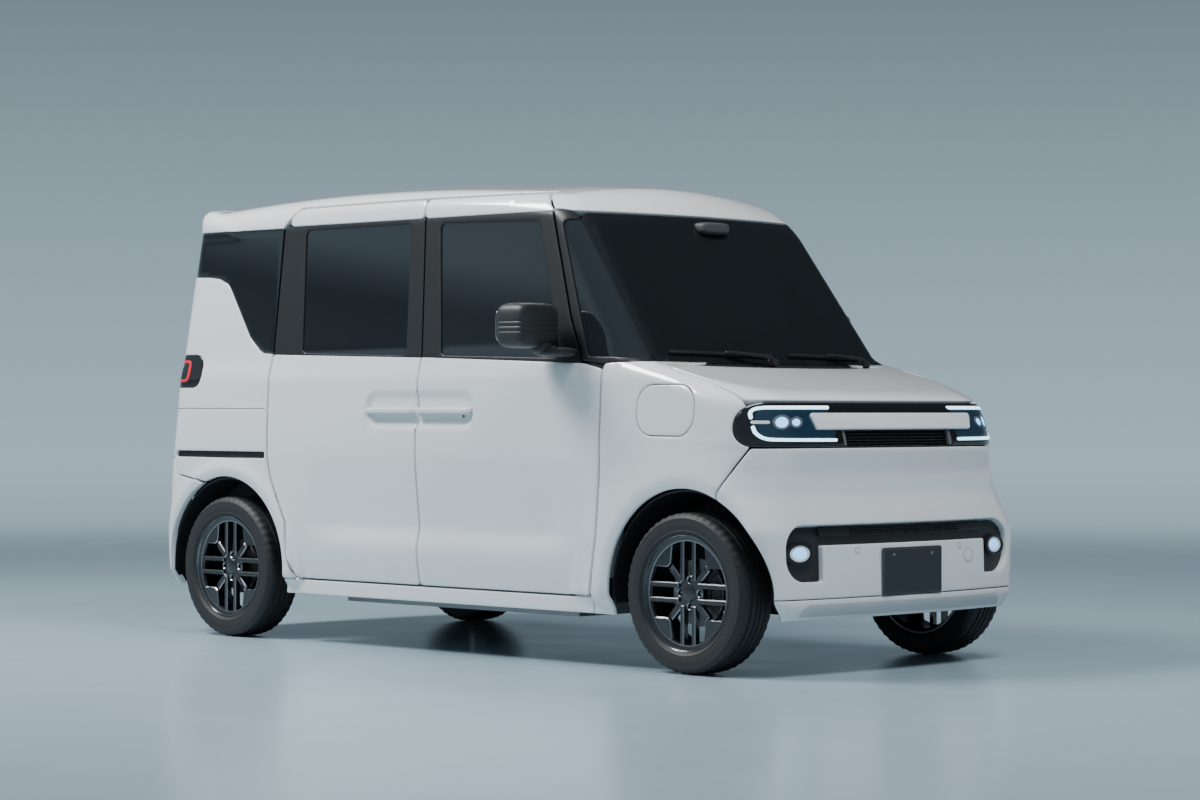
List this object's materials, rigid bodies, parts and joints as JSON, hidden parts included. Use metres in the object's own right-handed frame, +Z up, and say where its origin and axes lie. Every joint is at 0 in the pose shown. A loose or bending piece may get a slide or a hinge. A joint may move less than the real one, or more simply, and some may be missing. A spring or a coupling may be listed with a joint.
{
  "type": "electric kei car",
  "caption": "Small tall-sided electric kei car with hinged front doors, sliding rear doors, lifting tailgate and bonnet, steered front wheels and a charge lid.",
  "frame": {"origin": "on the ground under the middle of the car's length and width", "axes": "+X forward, +Y to the car's left, +Z up"},
  "size_m": [3.3949, 1.816, 1.7999],
  "materials": {
    "body_paint": "pearl white gloss",
    "black_plastic": "black",
    "tinted_glass": "dark tint",
    "dark_metal": "dark underbody coating",
    "plate_blank": "blank dark plate",
    "lamp_lens": "dark clear lens",
    "tail_lens": "red and black lens",
    "pack_case": "sheet",
    "cast_alloy": "as cast",
    "chassis_steel": "black coated steel",
    "seat_fabric": "woven",
    "cabin_plastic": "grained",
    "wheel_grip": "smooth",
    "tyre": "matt",
    "rim_alloy": "dark paint with machined edges"
  },
  "bodies": {
    "body": {"roof_panel": "body_paint", "body_side_right": "body_paint", "body_side_left": "body_paint", "front_fender_right": "body_paint", "front_fender_left": "body_paint", "front_bumper": "body_paint", "rear_bumper": "body_paint", "sliding_doors": "body_paint", "cowl_panel": "black_plastic", "lower_grille": "black_plastic", "grille_panel": "black_plastic", "wheel_liners": "black_plastic", "windscreen": "tinted_glass", "quarter_glass": "tinted_glass", "sliding_door_glass": "tinted_glass", "floor_pan": "dark_metal", "number_plate": "plate_blank", "headlamps": "lamp_lens", "fog_lamps": "lamp_lens", "tail_lamps": "tail_lens", "battery_pack": "pack_case", "drive_unit": "cast_alloy", "front_subframe": "chassis_steel", "rear_axle": "chassis_steel", "front_seats": "seat_fabric", "rear_seat": "seat_fabric", "dashboard": "cabin_plastic", "steering_wheel": "wheel_grip"},
    "bonnet_body": {"bonnet": "body_paint"},
    "charge_lid_body": {"charge_lid": "body_paint"},
    "tailgate_body": {"tailgate": "body_paint", "rear_window": "tinted_glass"},
    "door_right_body": {"front_door_right": "body_paint", "door_glass_right": "tinted_glass", "mirror_right": "black_plastic"},
    "door_left_body": {"front_door_left": "body_paint", "door_glass_left": "tinted_glass", "mirror_left": "black_plastic"},
    "steer_right_body": {"knuckle_right": "chassis_steel"},
    "steer_left_body": {"knuckle_left": "chassis_steel"},
    "wheel_front_right": {"rim_front_right": "rim_alloy", "tyre_front_right": "tyre"},
    "wheel_front_left": {"rim_front_left": "rim_alloy", "tyre_front_left": "tyre"},
    "wheel_rear_right": {"rim_rear_right": "rim_alloy", "tyre_rear_right": "tyre"},
    "wheel_rear_left": {"rim_rear_left": "rim_alloy", "tyre_rear_left": "tyre"}
  },
  "joints": [
    {"name": "steer_right", "type": "hinge", "parent": "body", "child": "steer_right_body", "pos_m": [1.27, -0.575, 0.19], "axis": [0, 0.1853, 0.9827], "range_deg": [-33, 33]},
    {"name": "steer_left", "type": "hinge", "parent": "body", "child": "steer_left_body", "pos_m": [1.27, 0.575, 0.19], "axis": [0, -0.1853, 0.9827], "range_deg": [-33.5, 33.5]},
    {"name": "spin_front_right", "type": "hinge", "parent": "steer_right_body", "child": "wheel_front_right", "pos_m": [1.27, -0.6425, 0.281], "axis": [0, 1, 0], "continuous": true},
    {"name": "spin_front_left", "type": "hinge", "parent": "steer_left_body", "child": "wheel_front_left", "pos_m": [1.27, 0.6425, 0.281], "axis": [0, 1, 0], "continuous": true},
    {"name": "spin_rear_right", "type": "hinge", "parent": "body", "child": "wheel_rear_right", "pos_m": [-1.25, -0.6425, 0.281], "axis": [0, 1, 0], "continuous": true},
    {"name": "spin_rear_left", "type": "hinge", "parent": "body", "child": "wheel_rear_left", "pos_m": [-1.25, 0.6425, 0.281], "axis": [0, 1, 0], "continuous": true},
    {"name": "door_right", "type": "hinge", "parent": "body", "child": "door_right_body", "pos_m": [0.885, -0.7095, 0.665], "axis": [0, 0, 1], "range_deg": [0, 65]},
    {"name": "door_left", "type": "hinge", "parent": "body", "child": "door_left_body", "pos_m": [0.885, 0.7095, 0.665], "axis": [0, 0, -1], "range_deg": [0, 65]},
    {"name": "tailgate_lift", "type": "hinge", "parent": "body", "child": "tailgate_body", "pos_m": [-1.5, 0, 1.74901], "axis": [0, 1, 0], "range_deg": [0, 80]},
    {"name": "bonnet_lift", "type": "hinge", "parent": "body", "child": "bonnet_body", "pos_m": [1.07809, 0, 1.06708], "axis": [0, -1, 0], "range_deg": [0, 50]},
    {"name": "charge_lid_swing", "type": "hinge", "parent": "body", "child": "charge_lid_body", "pos_m": [1.34, -0.6995, 0.913], "axis": [0, 0, 1], "range_deg": [0, 85]}
  ],
  "couplings": [
    {"joint": "steer_left", "follows": "steer_right", "ratio": 1}
  ]
}
